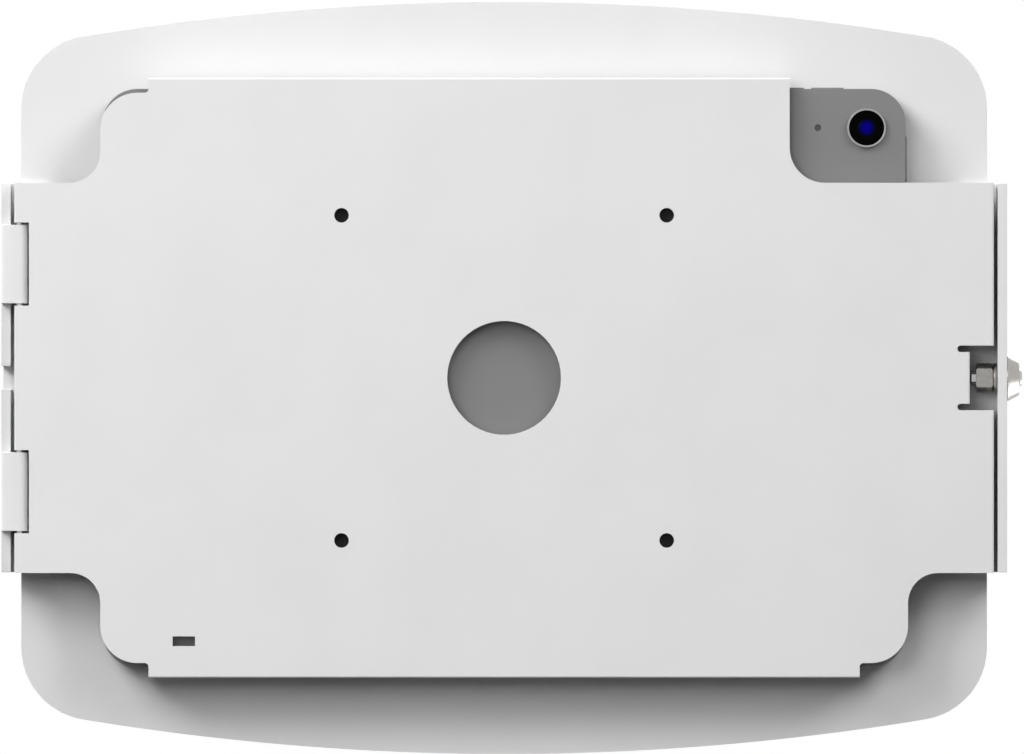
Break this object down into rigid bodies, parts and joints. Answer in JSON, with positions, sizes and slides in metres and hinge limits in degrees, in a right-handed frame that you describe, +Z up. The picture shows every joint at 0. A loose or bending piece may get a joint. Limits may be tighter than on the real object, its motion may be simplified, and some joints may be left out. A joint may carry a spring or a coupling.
{
  "type": "tablet security enclosure",
  "caption": "Lockable wall or arm mounted tablet enclosure: folded back plate, hinged front frame with a bowed fascia, key lock and a tablet held inside.",
  "frame": {"origin": "centre of the square bolt pattern, on the back plate's rear face", "axes": "+X to the lock side, +Y forward to the screen, +Z up; the hinge is at -X"},
  "size_m": [0.3141, 0.0155, 0.2316],
  "materials": {
    "white_powder_coat": "fine satin powder coat",
    "pin_steel": "ground",
    "foam": "closed-cell foam",
    "tablet_metal": "fine blasted and anodised",
    "screen_glass": "polished",
    "display_panel": "matt",
    "battery_wrap": "matt film",
    "circuit_board": "solder mask",
    "camera_metal": "bright turned",
    "camera_glass": "polished",
    "port_steel": "plain",
    "gasket_rubber": "closed-cell foam",
    "lock_nickel": "satin nickel plate",
    "lock_chrome": "bright plate"
  },
  "bodies": {
    "plate": {"back_plate": "white_powder_coat", "hinge_pin_upper": "pin_steel", "hinge_pin_lower": "pin_steel", "rear_pads": "foam", "side_stops": "foam", "tablet_shell": "tablet_metal", "tablet_glass": "screen_glass", "tablet_display": "display_panel", "tablet_battery": "battery_wrap", "tablet_board": "circuit_board", "tablet_camera_ring": "camera_metal", "tablet_camera_lens": "camera_glass", "tablet_port": "port_steel"},
    "front_frame": {"fascia": "white_powder_coat", "hinge_rail": "white_powder_coat", "lock_rail": "white_powder_coat", "screen_gasket": "gasket_rubber", "lock_body": "lock_nickel", "lock_nut": "lock_nickel", "lock_washer": "lock_nickel"},
    "key_core": {"lock_core": "lock_chrome"},
    "bolt": {"lock_bolt": "lock_chrome"},
    "power_button": {"tablet_power_button": "tablet_metal"},
    "volume_up_button": {"tablet_volume_up": "tablet_metal"},
    "volume_down_button": {"tablet_volume_down": "tablet_metal"}
  },
  "joints": [
    {"name": "frame_swing", "type": "hinge", "parent": "plate", "child": "front_frame", "pos_m": [-0.149, 0.00306, 0], "axis": [0, 0, 1], "range_deg": [0, 90]},
    {"name": "bolt_throw", "type": "slide", "parent": "front_frame", "child": "bolt", "axis": [-1, 0, 0], "range_m": [0, 0.004]},
    {"name": "key_turn", "type": "hinge", "parent": "front_frame", "child": "key_core", "pos_m": [0.158, 0.0076, 0], "axis": [1, 0, 0], "range_deg": [0, 90]},
    {"name": "power_press", "type": "slide", "parent": "plate", "child": "power_button", "axis": [-1, 0, 0], "range_m": [0, 0.0003], "stiffness_N_per_m": 800},
    {"name": "volume_up_press", "type": "slide", "parent": "plate", "child": "volume_up_button", "axis": [0, 0, -1], "range_m": [0, 0.0003], "stiffness_N_per_m": 800},
    {"name": "volume_down_press", "type": "slide", "parent": "plate", "child": "volume_down_button", "axis": [0, 0, -1], "range_m": [0, 0.0003], "stiffness_N_per_m": 800}
  ],
  "couplings": [
    {"joint": "key_turn", "follows": "bolt_throw", "rad_per_m": 392.7}
  ]
}
